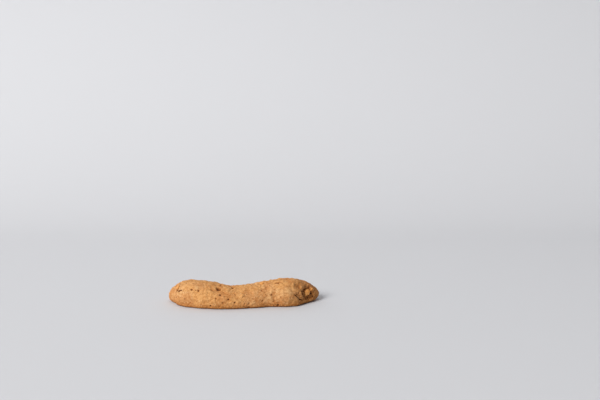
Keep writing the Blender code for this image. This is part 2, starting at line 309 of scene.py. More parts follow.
def bakedNutDough():
    # Baked nut dough: dry, sandy and quite matte, golden with browner patches and a browned foot,
    # with pale and dark specks of ground nut; painted shade darkens it between its grains, in its pores,
    # cracks and hollows, along the very foot and on the right end's facet
    look = doughLook
    material, tree, place = startMaterial("bakedNutDough")
    patterns = {}
    for name, detail in (("floury", 1.0), ("patch", 2.0), ("mottle", 4.0), ("sand", 2.0)):
        patterns[name] = addNode(tree, "ShaderNodeTexNoise", {
            "Vector": place, "Scale": 1 / (look[name + "Size"] * mm), "Detail": detail,
        })
    stray = addNode(tree, "ShaderNodeTexNoise", {
        "Vector": place, "Scale": 2 / (look["speckSize"] * mm),
    }, give=1)
    stray = addNode(tree, "ShaderNodeVectorMath", {
        0: stray, 3: look["speckStray"] * 2 * mm,
    }, operation="SCALE")
    ragged = addNode(tree, "ShaderNodeVectorMath", {0: place, 1: stray}, operation="ADD")
    specks = addNode(tree, "ShaderNodeTexVoronoi", {
        "Vector": ragged, "Scale": 1 / (look["speckSize"] * mm), "Randomness": 1.0,
    }).node.outputs
    lot = addNode(tree, "ShaderNodeSeparateColor", {0: specks[1]}).node.outputs
    pale = addNode(tree, "ShaderNodeMath", {0: lot[0], 1: specks[0]}, operation="SUBTRACT")
    dark = addNode(tree, "ShaderNodeMath", {0: lot[1], 1: specks[0]}, operation="SUBTRACT")
    along, _, height = addNode(tree, "ShaderNodeSeparateXYZ", {0: place}).node.outputs
    # 'pore' carries the painted shade of hollows, 'rise' the fine relief that painted crease shade follows,
    # 'torn' the hollows
    paintedHollowShade, rise, torn = [
        addNode(tree, "ShaderNodeAttribute", give=2, attribute_name=name)
        for name in ("pore", "rise", "torn")
    ]
    # the right end's aslant line follows where its facet turns from the light
    lean = addNode(tree, "ShaderNodeMath", {0: height, 1: look["rightShadeLean"]}, operation="MULTIPLY")
    pinched = addNode(tree, "ShaderNodeMath", {0: along, 1: lean}, operation="SUBTRACT")
    top, foot = look["browning"]
    footShadeTop, footShadeBottom = look["footShadeLine"]
    rightStart, rightFull, rightMost = look["rightEnd"]
    leftStart, leftFull, leftMost = look["leftEnd"]
    # each layer: its value, the low and the high that it rises between, its most, and its colour
    color = paintLayers(tree, look["golden"], (
        (patterns["floury"], 0.50, 0.60, 0.40, look["floury"]),
        (patterns["patch"], 0.42, 0.64, 0.60, look["toasted"]),
        (patterns["mottle"], 0.45, 0.70, 0.42, look["toasted"]),
        (height, top * mm, foot * mm, 0.80, look["edge"]),
        # painted contact shadow: darkest in the last millimetre above the tray
        (height, footShadeTop * mm, footShadeBottom * mm, 0.80, look["pitShade"]),
        # right end: partly real browning of the tip, partly painted shade of its facet turned from the
        # light
        (pinched, rightStart * mm, rightFull * mm, rightMost, look["torn"]),
        (along, leftStart * mm, leftFull * mm, leftMost, look["toasted"]),
        # hollows: the broken crumb's own colour, darkened further as painted shade of the hollow
        (torn, 0.1, 0.9, 0.80, look["torn"]),
        (patterns["sand"], 0.54, 0.68, 0.20, look["cream"]),
        # painted shade in the low places between the grains and in sunk marks
        (rise, 0.45, 0.10, 0.50, look["crease"]),
        (pale, 0.56, 0.68, 0.35, look["cream"]),
        (dark, 0.64, 0.72, 0.70, look["skin"]),
        # painted shade in pores, holes, cracks and opened seams: shallow ones in the crease-shade colour,
        # deep ones in the pit-shade colour
        (paintedHollowShade, 0.05, 0.5, 0.80, look["crease"]),
        (paintedHollowShade, 0.5, 1.0, 0.90, look["pitShade"]),
    ))
    size, height = look["grit"]
    grit = addNode(tree, "ShaderNodeTexNoise", {"Vector": ragged, "Scale": 1 / (size * mm), "Detail": 4.0})
    closeMaterial(tree, look, color, patterns["mottle"], grit, height)
    return material


nutLooks = {
    "roastedHazelnut": {                # the large pieces
        "flesh": "#d99346",             # toasted flesh of the nut
        "pale": "#efc686",              # freshly broken flesh
        "roasted": "#a3652b",           # browned edges
        "skin": "#6f401d",              # where its skin still sits
        "patchSize": 1.5,
        "grainSize": 0.35,              # the nut's broken grain
        "grainHeight": 0.05,
        "roughness": (0.42, 0.62),
        "gloss": 0.4,
    },
    "dustyHazelnut": {                  # the bits and crumbs in the crust
        "flesh": "#cd9a60",
        "pale": "#e0b988",
        "roasted": "#a56c37",
        "skin": "#80502a",
        "patchSize": 1.2,
        "grainSize": 0.35,
        "grainHeight": 0.07,
        "roughness": (0.60, 0.80),
        "gloss": 0.4,
    },
}


def hazelnutMeat(name):
    # Roasted hazelnut: dense and slightly waxy, pale where it broke, browned at its edges, with rests
    # of the thin brown skin on its round side; duller where it is dusted with dough
    look = nutLooks[name]
    material, tree, place = startMaterial(name)
    patch, grain = [
        addNode(tree, "ShaderNodeTexNoise", {
            "Vector": place, "Scale": 1 / (look[size] * mm), "Detail": 3.0,
        })
        for size in ("patchSize", "grainSize")
    ]
    skinSide = addNode(tree, "ShaderNodeAttribute", give=2, attribute_name="skinSide")
    uneven = addNode(tree, "ShaderNodeMath", {0: patch, 1: skinSide}, operation="ADD")
    color = paintLayers(tree, look["flesh"], (
        (patch, 0.45, 0.68, 0.80, look["roasted"]),
        (grain, 0.52, 0.70, 0.60, look["pale"]),
        (uneven, 1.10, 1.22, 0.90, look["skin"]),
    ))
    closeMaterial(tree, look, color, grain, grain, look["grainHeight"])
    return material


skinLook = {
    "dark": "#6a3d1c",
    "worn": "#94602f",
    "streakSize": 0.6,
    "wrinkleHeight": 0.04,
    "roughness": (0.6, 0.8),
    "gloss": 0.3,
}


def hazelnutSkin():
    # Hazelnut skin: thin dry papery flakes, chestnut brown and dull, paler where they are worn
    look = skinLook
    material, tree, place = startMaterial("hazelnutSkin")
    streaks = addNode(tree, "ShaderNodeTexNoise", {
        "Vector": place, "Scale": 1 / (look["streakSize"] * mm), "Detail": 3.0, "Distortion": 1.0,
    })
    color = paintLayers(tree, look["dark"], ((streaks, 0.4, 0.7, 1.0, look["worn"]),))
    closeMaterial(tree, look, color, streaks, streaks, look["wrinkleHeight"])
    return material


paperLook = {
    "color": "#cdcdcf",
    "fibreSize": 1.5,                   # far coarser than real fibres, which are too fine to show
    "fibreHeight": 0.003,
    "roughness": (0.88, 0.92),
    "gloss": 0.2,
}


def matteSweepPaper():
    # Matte background paper: pale, nearly neutral and without gloss
    look = paperLook
    material, tree, place = startMaterial("matteSweepPaper")
    fibre = addNode(tree, "ShaderNodeTexNoise", {"Vector": place, "Scale": 1 / (look["fibreSize"] * mm)})
    closeMaterial(tree, look, linearColor(look["color"]), fibre, fibre, look["fibreHeight"])
    return material


# The pieces of hazelnut, with the places, sizes and corners that they have in the solid

nuts = {
    "large": (                          # place, half sizes, how far the middle stands out of the dough
        ((36.0, 161), (3.0, 2.4, 2.3), -1.5),
        ((39.7, 141), (1.5, 1.2, 1.1), -0.5),
        ((-22.0, 33), (2.1, 1.7, 1.5), -1.1),
        ((-34.3, 135), (1.5, 1.2, 1.0), 0.1),
        ((10.5, 96), (1.5, 1.3, 1.1), -0.6),
    ),
    "bits": 24,
    "bitHalf": (1.30, 0.80),            # the largest and the smallest half size, and shares of it
    "bitBreadth": (0.70, 0.95),
    "bitThickness": (0.55, 0.80),
    "bitLastX": 42.0,
    "bitTurns": (8.0, 172.0),
    "bitStart": 0.13,
    "bitOut": -0.20,
    "corners": (26, 14),                # of a large piece and of a bit
    "sway": 0.3,                        # how far a corner strays round its piece, and in and out
    "reach": (0.82, 1.08),
    "over": (0.12, -0.08),              # how far the surface stands over the solid's
    "cuts": (4, 3),                     # how often the facets are cut in four
    "rounds": 2,                        # and how often their edges are rounded
    "chips": (1.6, 0.30),               # size and height of the chips that broke out of it
    "grain": (0.6, 0.16),
    "skinLow": -0.3,                    # the skin is left on one side, a little towards the dough
    "seed": 5,
}


def nutPlaces():
    draw = random.Random(nuts["seed"])
    largeCorners, bitCorners = nuts["corners"]
    places = [(spot, sizes, largeCorners, out) for spot, sizes, out in nuts["large"]]
    largest, smallest = nuts["bitHalf"]
    firstTurn, lastTurn = nuts["bitTurns"]
    for k in range(nuts["bits"]):
        x = nuts["bitLastX"] * (2 * ((k * goldenShare + nuts["bitStart"]) % 1.0) - 1)
        turn = firstTurn + (lastTurn - firstTurn) * ((k + 0.5) / nuts["bits"])
        half = largest + (smallest - largest) * ((k * goldenShare * goldenShare) % 1.0)
        sizes = (half, half * draw.uniform(*nuts["bitBreadth"]), half * draw.uniform(*nuts["bitThickness"]))
        places.append(((x, turn), sizes, bitCorners, nuts["bitOut"]))
    return sorted(places, key=lambda piece: -piece[1][0])


def brokenPiece(halfSizes, corners, draw):
    # a broken bit: the convex hull of points on an uneven ball
    piece = bmesh.new()
    for k in range(corners):
        height = 1 - 2 * (k + 0.5) / corners
        ring = math.sqrt(1 - height * height)
        swing = 2 * math.pi * goldenShare * k + draw.uniform(-nuts["sway"], nuts["sway"])
        size = draw.uniform(*nuts["reach"])
        corner = (ring * math.cos(swing), ring * math.sin(swing), height)
        piece.verts.new([half * size * c for half, c in zip(halfSizes, corner)])
    hull = bmesh.ops.convex_hull(piece, input=piece.verts)
    unused = set(hull["geom_interior"] + hull["geom_unused"])
    spare = [item for item in unused if isinstance(item, bmesh.types.BMVert)]
    bmesh.ops.delete(piece, geom=spare, context="VERTS")
    bmesh.ops.recalc_face_normals(piece, faces=piece.faces)
    return piece


def nutTree(values):
    # cuts the flat facets finer, rounds their edges a little and roughens the surface
    tree, given = geometryTree("brokenNut", values)
    place = addNode(tree, "GeometryNodeInputPosition")
    fine = addNode(tree, "GeometryNodeSubdivideMesh", {0: given["Geometry"], 1: given["Cuts"]})
    blurred = addNode(
        tree, "GeometryNodeBlurAttribute", {0: place, 1: given["Rounds"]}, data_type="FLOAT_VECTOR"
    )
    rounded = addNode(tree, "GeometryNodeSetPosition", {0: fine, 2: blurred})
    rise = 0.0
    for label, kind, low, high in (
        ("Chips", "ShaderNodeTexVoronoi", 0.6, 0.0), ("Grain", "ShaderNodeTexNoise", 0.3, 0.7),
    ):
        scale = addNode(tree, "ShaderNodeMath", {0: 1.0, 1: given[label + " Size"]}, operation="DIVIDE")
        pattern = addNode(tree, kind, {"Vector": place, "Scale": scale, "Detail": 1.0})
        centred = addNode(tree, "ShaderNodeMapRange", {0: pattern, 1: low, 2: high, 3: -0.5, 4: 0.5})
        part = addNode(
            tree, "ShaderNodeMath", {0: centred, 1: given[label + " Height"]}, operation="MULTIPLY"
        )
        rise = addNode(tree, "ShaderNodeMath", {0: part, 1: rise}, operation="ADD")
    normal = addNode(tree, "GeometryNodeInputNormal")
    offset = addNode(tree, "ShaderNodeVectorMath", {0: normal, 3: rise}, operation="SCALE")
    moved = addNode(tree, "GeometryNodeSetPosition", {0: rounded, 3: offset})
    shaded = addNode(tree, "GeometryNodeSetShadeSmooth", {0: moved})
    closeTree(tree, shaded, given["Material"])
    return tree


def makeNuts(*materials):
    # two pieces: the large ones that sit in hollows, and the chopped bits that the crust half covers
    draw = random.Random(nuts["seed"])
    turnSkin = random.Random(nuts["seed"] + 1)
    forms = (bmesh.new(), bmesh.new())
    for form in forms:
        form.verts.layers.float.new("skinSide")
    for spot, sizes, corners, out in nutPlaces():
        isBit = corners == nuts["corners"][1]
        piece = brokenPiece(sizes, corners, draw)
        turned = crustOutward(*spot).to_track_quat("Z", "X").to_matrix()
        turned = turned @ Matrix.Rotation(draw.uniform(0, 2 * math.pi), 3, "Z")
        grown = Matrix.Diagonal([1 + nuts["over"][isBit] / half for half in sizes])
        centre = crustSpot(*spot) + crustOutward(*spot) * out
        swing = turnSkin.uniform(0, 2 * math.pi)
        skinSide = Vector((math.cos(swing), math.sin(swing), nuts["skinLow"])).normalized()
        form = forms[isBit]
        layer = form.verts.layers.float["skinSide"]
        copies = {}
        for vert in piece.verts:
            copies[vert] = form.verts.new((centre + turned @ grown @ vert.co) * mm)
            copies[vert][layer] = vert.co.normalized().dot(skinSide)
        for face in piece.faces:
            form.faces.new([copies[vert] for vert in face.verts])
        piece.free()
    values = {"Cuts": 1, "Rounds": nuts["rounds"], "Material": materials[0]}
    for label in ("Chips", "Grain"):
        size, height = nuts[label.lower()]
        values.update({label + " Size": size * mm, label + " Height": height * mm})
    tree = nutTree(values)
    pieces = []
    for name, form, cuts, material in zip(("hazelnutPieces", "choppedNut"), forms, nuts["cuts"], materials):
        piece = newObject(name, meshFrom(name, form))
        runTree(piece, tree, {**values, "Cuts": cuts, "Material": material})
        pieces.append(piece)
    return pieces


# The crust. Heights are from valley to hill; what is finer than the mesh is left to the material.

crust = {
    "voxel": 0.28,                      # spacing of the fine mesh
    "rounds": 6,                        # how often the solid's facets are smoothed
    "lengths": {
        "Lump Size": 3.4, "Lump Height": 0.36,
        "Crumb Size": 1.5, "Crumb Height": 0.22,
        "Sand Size": 0.7, "Sand Height": 0.14,
        "Torn Size": 1.4, "Torn Height": 0.90,      # the broken crumb inside a hollow
        "Crack Size": 5.5, "Crack Width": 0.30, "Crack Depth": 0.28,
        "Pore Spacing": 2.7, "Pore Radius": 0.85, "Pore Depth": 0.70,
        "Seam Start": 0.15, "Seam End": 0.60, "Seam Depth": 0.75,       # the gap round a large nut
        "Undercut": 0.6, "Undercut Top": 1.1,       # the side draws in where it meets the tray
        "Stray Size": 1.1, "Stray": 0.9,            # how raggedly pores and cracks are bounded
        "Wander Size": 4.0, "Wander": 5.0,          # and the hollows
        "Foot": 0.10, "Foot Top": 1.3,              # the crust is flat where it lay on the tray
        "Porous Size": 9.0,                         # size of the stretches with many pores or few,
        "Cracked Size": 7.0,                        # of those with and without fine cracks,
        "Drawn Back Size": 2.5,                     # and of the parts of a seam that opened
    },
    "poreShare": 0.55,                  # how many of the cells have a pore
    "crackStretch": 0.45,               # below 1, cracks are drawn out along the cookie
    "poreEdge": (0.30, 1.15),           # shares of a radius: deepest inside one, level past the other
    "markEdge": (0.25, 1.15),
    "hollowEdge": (0.75, 1.10),
    "shades": {"crack": 0.45, "seam": 0.8},         # how dark their painted shade is, against a pore's 1

    # marks of its own baking: holes go in and ridges, with a depth below zero, stand out
    "holes": (                          # place, radius, depth
        ((-13.4, 115), 1.6, 1.6),
        ((-16.4, 127), 1.2, 0.4),
        ((-17.2, 112), 0.9, 0.3),
        ((-5.9, 98), 1.1, 1.2),
        ((-26.4, 138), 0.75, 0.8),
        ((-22.8, 138), 0.7, 0.6),
        ((-12.1, 143), 0.65, 0.8),
        ((-8.2, 161), 0.65, 0.8),
        ((-5.0, 173), 0.6, 0.7),
        ((-10.8, 175), 0.7, 0.5),
        ((-0.7, 153), 0.55, 0.5),
        ((16.4, 160), 0.6, 0.6),
        ((39.9, 180), 1.0, 1.3),
        ((37.9, 162), 0.7, 0.9),
        ((2.1, 203), 0.9, 0.7),
        ((20.1, 207), 1.1, 1.0),
        ((29.4, 137), 3.4, 0.9),        # a thumb's dent above the lip
    ),
    "backHoles": (                      # on the side that the photograph doesn't show
        ((-35.0, 52), 0.80, 0.8),
        ((-29.5, 30), 0.60, 0.6),
        ((-12.0, 40), 1.20, 1.2),
        ((-9.4, 29), 0.60, 0.6),
        ((-3.5, 55), 0.70, 0.7),
        ((5.5, 22), 0.60, 0.6),
        ((9.0, 46), 0.90, 0.9),
        ((17.5, 30), 0.60, 0.7),
        ((24.0, 62), 0.75, 0.7),
        ((31.0, 38), 1.00, 1.0),
        ((33.4, 26), 0.60, 0.6),
        ((38.5, 52), 0.60, 0.6),
    ),
    "runs": {                           # chains of marks: the places they go through, radius, depth, stray
        "crack": (((27.1, 164), (28.5, 174), (31.1, 193)), 0.55, 1.2, 0.12),
        "gap": (((31.3, 153), (31.1, 164), (32.6, 178)), 0.9, 1.4, 0.2),
        "lip": (((29.7, 155), (29.9, 166), (30.9, 178)), 0.8, -0.7, 0.2),
        "lowRim": (((30.9, 200), (34.8, 203), (39.3, 198)), 0.9, -0.5, 0.3),
        "fold": (((18.7, 137), (17.3, 164), (18.9, 200)), 1.0, 0.4, 0.3),
        "hairline": (((18.2, 112), (20.7, 115), (23.0, 118)), 0.45, 0.6, 0.08),
        "flake": (((-36.4, 107), (-33.6, 129), (-33.5, 140)), 0.6, -0.8, 0.1),
        "flakeGap": (((-38.9, 145), (-32.1, 149), (-30.7, 144)), 0.7, 1.1, 0.15),
    },
    "runEnds": 0.4,                     # what is left of a run's radius and depth at its ends
    "marksPerMillimetre": 4.0,
    "crumbled": {                       # the torn dough round the nut at the pinched end
        "middle": (36.2, 168),          # a place, and how far round it
        "reach": (5.6, 31),
        "marks": 60,
        "radius": (0.45, 1.0),
        "depth": (-0.6, 0.7),
    },
    "hollows": (                        # place, radius
        ((36.2, 166), 4.6),
        ((-22.0, 33), 2.0),
        ((10.5, 96), 1.0),
    ),
    "seed": 4,
}


def pointObject(name, places, columns):
    # loose points, with a number at each for every column
    mesh = bpy.data.meshes.new(name)
    mesh.from_pydata([place * mm for place in places], [], [])
    for label, values in columns.items():
        column = mesh.attributes.new(label, "FLOAT", "POINT").data
        column.foreach_set("value", [value * mm for value in values])
    return newObject(name, mesh)


def onCrust(surface, x, turn, sight=False):
    # the point of the real surface at a place, straight into it or along the camera's line of sight
    spot = crustSpot(x, turn)
    way = (spot - Vector(view["place"])).normalized() if sight else -crustOutward(x, turn)
    away = 8                            # far enough out to start outside the dough
    hit, point, _, _ = surface.ray_cast((spot - way * away) * mm, way, distance=2 * away * mm)
    return point / mm if hit else spot


def bakingMarks(surface):
    draw = random.Random(crust["seed"])
    marks = []
    for place, radius, depth in crust["holes"]:
        marks.append((onCrust(surface, *place, sight=True), radius, depth))
    for place, radius, depth in crust["backHoles"]:
        marks.append((onCrust(surface, *place), radius, depth))
    for through, radius, depth, strayBy in crust["runs"].values():
        corners = [onCrust(surface, *place, sight=True) for place in through]
        lengths = [(b - a).length for a, b in zip(corners, corners[1:])]
        count = round(sum(lengths) * crust["marksPerMillimetre"])
        for k in range(count + 1):
            i, along = 0, sum(lengths) * k / count
            while i < len(lengths) - 1 and along > lengths[i]:
                along -= lengths[i]
                i += 1
            pairs = zip(through[i], through[i + 1])
            x, turn = [a + (b - a) * along / lengths[i] for a, b in pairs]
            stray = Vector([draw.gauss(0, strayBy) for _ in range(3)])
            share = crust["runEnds"] + (1 - crust["runEnds"]) * math.sin(math.pi * k / count)
            place = onCrust(surface, x, turn, sight=True) + stray
            marks.append((place, radius * share, depth * share))
    crumbled = crust["crumbled"]
    middleX, middleTurn = crumbled["middle"]
    reachX, reachTurn = crumbled["reach"]
    for _ in range(crumbled["marks"]):
        swing, out = draw.uniform(0, 2 * math.pi), math.sqrt(draw.random())
        x, turn = middleX + reachX * out * math.cos(swing), middleTurn + reachTurn * out * math.sin(swing)
        radius, depth = draw.uniform(*crumbled["radius"]), draw.uniform(*crumbled["depth"])
        marks.append((onCrust(surface, x, turn), radius, depth))
    places, radii, depths = zip(*marks)
    return pointObject("bakingMarks", places, {"radius": radii, "depth": depths})


def nearestPoint(tree, source, here, columns):
    # of an object's loose points the one nearest to here: its place, and its number in each column
    points = addNode(tree, "GeometryNodeObjectInfo", {0: source}, give=4)
    nearest = addNode(tree, "GeometryNodeSampleNearest", {0: points, 1: here}, domain="POINT")
    place = addNode(tree, "GeometryNodeInputPosition")
    found = [addNode(tree, "GeometryNodeSampleIndex", {
        0: points, 1: place, 2: nearest,
    }, data_type="FLOAT_VECTOR", domain="POINT")]
    for name in columns:
        column = addNode(tree, "GeometryNodeInputNamedAttribute", {0: name}, data_type="FLOAT")
        found.append(addNode(tree, "GeometryNodeSampleIndex", {
            0: points, 1: column, 2: nearest,
        }, data_type="FLOAT", domain="POINT"))
    return found


def crustTree(values):
    tree, given = geometryTree("crustRelief", values)
    place = addNode(tree, "GeometryNodeInputPosition")
    noise, cells = "ShaderNodeTexNoise", "ShaderNodeTexVoronoi"

    # the solid's facets come off
    blurred = addNode(
        tree, "GeometryNodeBlurAttribute", {0: place, 1: given["Rounds"]}, data_type="FLOAT_VECTOR"
    )
    smooth = addNode(tree, "GeometryNodeSetPosition", {0: given["Geometry"], 2: blurred})

    # the scale of each pattern
    scale = {}
    for label in (
        "Lump Size", "Crumb Size", "Sand Size", "Torn Size", "Crack Size", "Pore Spacing", "Stray Size",
        "Wander Size", "Porous Size", "Cracked Size", "Drawn Back Size",
    ):
        scale[label] = addNode(tree, "ShaderNodeMath", {0: 1.0, 1: given[label]}, operation="DIVIDE")

    # places that stray give pores, cracks and hollows ragged edges
    strayed = []
    for size, reach in (("Stray Size", "Stray"), ("Wander Size", "Wander")):
        swirl = addNode(tree, noise, {"Vector": place, "Scale": scale[size]}, give=1)
        swirl = addNode(tree, "ShaderNodeVectorMath", {0: swirl, 1: (0.5, 0.5, 0.5)}, operation="SUBTRACT")
        swirl = addNode(tree, "ShaderNodeVectorMath", {0: swirl, 3: given[reach]}, operation="SCALE")
        strayed.append(addNode(tree, "ShaderNodeVectorMath", {0: place, 1: swirl}, operation="ADD"))
    ragged, wandering = strayed

    # even unevenness: each layer runs from -0.5 to 0.5 before it gets its height
    layers = {}
    for label, kind, extra, low, high, settings in (
        ("Lump", noise, {"Detail": 1.0}, 0.3, 0.7, {}),
        ("Crumb", cells, {"Smoothness": 0.3, "Randomness": 1.0}, 0.65, 0.1, {"feature": "SMOOTH_F1"}),
        ("Sand", noise, {"Detail": 2.0}, 0.3, 0.7, {}),
        ("Torn", cells, {"Detail": 1.0, "Randomness": 1.0}, 0.7, 0.1, {}),
    ):
        pattern = addNode(tree, kind, {
            "Vector": ragged, "Scale": scale[label + " Size"], **extra,
        }, **settings)
        layers[label] = addNode(tree, "ShaderNodeMapRange", {0: pattern, 1: low, 2: high, 3: -0.5, 4: 0.5})

    # marks: the nearest one's distance against its radius
    fullTo, levelFrom = crust["markEdge"]
    centre, radius, depth = nearestPoint(tree, given["Marks"], ragged, ("radius", "depth"))
    gap = addNode(tree, "ShaderNodeVectorMath", {0: ragged, 1: centre}, give=1, operation="DISTANCE")
    gap = addNode(tree, "ShaderNodeMath", {0: gap, 1: radius}, operation="DIVIDE")
    marked = addNode(
        tree, "ShaderNodeMapRange", {0: gap, 1: fullTo, 2: levelFrom, 3: 1.0, 4: 0.0},
        interpolation_type="SMOOTHSTEP",
    )
    markDepth = addNode(tree, "ShaderNodeMath", {0: marked, 1: depth}, operation="MULTIPLY")
    steep = addNode(tree, "ShaderNodeMath", {0: markDepth, 1: radius}, operation="DIVIDE")
    markShade = addNode(tree, "ShaderNodeMath", {0: steep, 1: 0.0}, operation="MAXIMUM")

    # hollows where the dough broke open
    fullTo, levelFrom = crust["hollowEdge"]
    centre, reach = nearestPoint(tree, given["Hollows"], place, ("radius",))
    gap = addNode(tree, "ShaderNodeVectorMath", {0: wandering, 1: centre}, give=1, operation="DISTANCE")
    gap = addNode(tree, "ShaderNodeMath", {0: gap, 1: reach}, operation="DIVIDE")
    torn = addNode(
        tree, "ShaderNodeMapRange", {0: gap, 1: fullTo, 2: levelFrom, 3: 1.0, 4: 0.0},
        interpolation_type="SMOOTHSTEP",
    )

    # pores: in some of the cells, few in one stretch and many in another, mostly small
    fullTo, levelFrom = crust["poreEdge"]
    porous = addNode(tree, noise, {"Vector": place, "Scale": scale["Porous Size"]})
    porous = addNode(tree, "ShaderNodeMapRange", {0: porous, 1: 0.40, 2: 0.62, 3: 0.15})
    share = addNode(tree, "ShaderNodeMath", {0: given["Pore Share"], 1: porous}, operation="MULTIPLY")
    cellsHere = addNode(tree, cells, {
        "Vector": ragged, "Scale": scale["Pore Spacing"], "Randomness": 1.0,
    }).node.outputs
    lot = addNode(tree, "ShaderNodeSeparateXYZ", {0: cellsHere[1]}).node.outputs
    chosen = addNode(tree, "ShaderNodeMath", {0: lot[0], 1: share}, operation="LESS_THAN")
    small = addNode(tree, "ShaderNodeMath", {0: lot[1], 1: 2.0}, operation="POWER")
    small = addNode(tree, "ShaderNodeMapRange", {0: small, 3: 0.30, 4: 1.0})
    radius = addNode(tree, "ShaderNodeMath", {0: given["Pore Radius"], 1: small}, operation="MULTIPLY")
    gap = addNode(tree, "ShaderNodeMath", {0: cellsHere[0], 1: given["Pore Spacing"]}, operation="MULTIPLY")
    gap = addNode(tree, "ShaderNodeMath", {0: gap, 1: radius}, operation="DIVIDE")
    pore = addNode(
        tree, "ShaderNodeMapRange", {0: gap, 1: fullTo, 2: levelFrom, 3: 1.0, 4: 0.0},
        interpolation_type="SMOOTHSTEP",
    )
    pore = addNode(tree, "ShaderNodeMath", {0: pore, 1: chosen}, operation="MULTIPLY")
    poreShade = addNode(tree, "ShaderNodeMath", {0: pore, 1: small}, operation="MULTIPLY")

    # fine cracks, drawn out along the cookie
    drawnOut = addNode(tree, "ShaderNodeVectorMath", {
        0: ragged, 1: (crust["crackStretch"], 1.0, 1.0),
    }, operation="MULTIPLY")
    crackGap = addNode(tree, cells, {
        "Vector": drawnOut, "Scale": scale["Crack Size"], "Randomness": 1.0,
    }, feature="DISTANCE_TO_EDGE")
    crackGap = addNode(tree, "ShaderNodeMath", {0: crackGap, 1: given["Crack Size"]}, operation="MULTIPLY")
    crackGap = addNode(tree, "ShaderNodeMath", {0: crackGap, 1: given["Crack Width"]}, operation="DIVIDE")
    crack = addNode(
        tree, "ShaderNodeMapRange", {0: crackGap, 3: 1.0, 4: 0.0}, interpolation_type="SMOOTHSTEP"
    )
    cracked = addNode(tree, noise, {"Vector": place, "Scale": scale["Cracked Size"]})
    cracked = addNode(tree, "ShaderNodeMapRange", {0: cracked, 1: 0.52, 2: 0.62})
    crack = addNode(tree, "ShaderNodeMath", {0: crack, 1: cracked}, operation="MULTIPLY")

    # the dough draws back from a large piece of nut, here more and there less
    nut = addNode(tree, "GeometryNodeObjectInfo", {0: given["Nuts"]}, give=4)
    nutGap = addNode(tree, "GeometryNodeProximity", {0: nut, 2: place}, give=1, target_element="FACES")
    seam = addNode(
        tree, "ShaderNodeMapRange",
        {0: nutGap, 1: given["Seam Start"], 2: given["Seam End"], 3: 1.0, 4: 0.0},
        interpolation_type="SMOOTHSTEP",
    )
    opened = addNode(tree, noise, {"Vector": place, "Scale": scale["Drawn Back Size"]})
    opened = addNode(tree, "ShaderNodeMapRange", {0: opened, 1: 0.42, 2: 0.60})
    drawnBack = addNode(tree, "ShaderNodeMath", {0: seam, 1: opened}, operation="MULTIPLY")
    seamDepth = addNode(
        tree, "ShaderNodeMath", {0: drawnBack, 1: given["Seam Depth"]}, operation="MULTIPLY"
    )

    # all of it together: even layers stop at the foot, marks don't, and nothing covers a large nut
    tornRise = addNode(tree, "ShaderNodeMath", {0: layers["Torn"], 1: torn}, operation="MULTIPLY")
    relief = 0.0
    for shape, height, sign in (
        (layers["Lump"], "Lump Height", 1.0), (layers["Crumb"], "Crumb Height", 1.0),
        (layers["Sand"], "Sand Height", 1.0), (tornRise, "Torn Height", 1.0),
        (pore, "Pore Depth", -1.0), (crack, "Crack Depth", -1.0),
    ):
        signed = addNode(tree, "ShaderNodeMath", {0: shape, 1: sign}, operation="MULTIPLY")
        part = addNode(tree, "ShaderNodeMath", {0: signed, 1: given[height]}, operation="MULTIPLY")
        relief = addNode(tree, "ShaderNodeMath", {0: part, 1: relief}, operation="ADD")
    height = addNode(tree, "ShaderNodeSeparateXYZ", {0: place}, give=2)
    mask = addNode(
        tree, "ShaderNodeMapRange", {0: height, 1: given["Foot"], 2: given["Foot Top"]},
        interpolation_type="SMOOTHSTEP",
    )
    relief = addNode(tree, "ShaderNodeMath", {0: relief, 1: mask}, operation="MULTIPLY")
    relief = addNode(tree, "ShaderNodeMath", {0: relief, 1: markDepth}, operation="SUBTRACT")
    clear = addNode(tree, "ShaderNodeMath", {0: 1.0, 1: seam}, operation="SUBTRACT")
    relief = addNode(tree, "ShaderNodeMath", {0: relief, 1: clear}, operation="MULTIPLY")
    relief = addNode(tree, "ShaderNodeMath", {0: relief, 1: seamDepth}, operation="SUBTRACT")
    undercut = addNode(
        tree, "ShaderNodeMapRange",
        {0: height, 1: 0.0, 2: given["Undercut Top"], 3: given["Undercut"], 4: 0.0},
        interpolation_type="SMOOTHSTEP",
    )

    # what the material needs to know, including how dark the painted shade of each hollow is
    # painted shade: the deeper and narrower a mark or pore, the darker; cracks and opened seams add theirs;
    # stored as 'pore'
    shade = addNode(tree, "ShaderNodeMath", {0: markShade, 1: poreShade}, operation="MAXIMUM")
    for other, name in ((crack, "crack"), (drawnBack, "seam")):
        other = addNode(tree, "ShaderNodeMath", {0: other, 1: crust["shades"][name]}, operation="MULTIPLY")
        shade = addNode(tree, "ShaderNodeMath", {0: shade, 1: other}, operation="MAXIMUM")
    # the fine relief's height, from which the material paints shade between the grains
    fine = addNode(tree, "ShaderNodeMath", {0: layers["Crumb"], 1: layers["Sand"]}, operation="ADD")
    fine = addNode(tree, "ShaderNodeMapRange", {0: fine, 1: -0.8, 2: 0.8})
    marksRise = addNode(tree, "ShaderNodeMapRange", {
        0: markDepth, 1: -1.0 * mm, 2: 1.0 * mm, 3: 0.4, 4: -0.4,
    })
    fine = addNode(tree, "ShaderNodeMath", {0: fine, 1: marksRise}, operation="ADD")
    geometry = smooth
    for name, value in (("pore", shade), ("rise", fine), ("torn", torn)):
        geometry = addNode(
            tree, "GeometryNodeStoreNamedAttribute", {0: geometry, 2: name, 3: value},
            data_type="FLOAT", domain="POINT",
        )

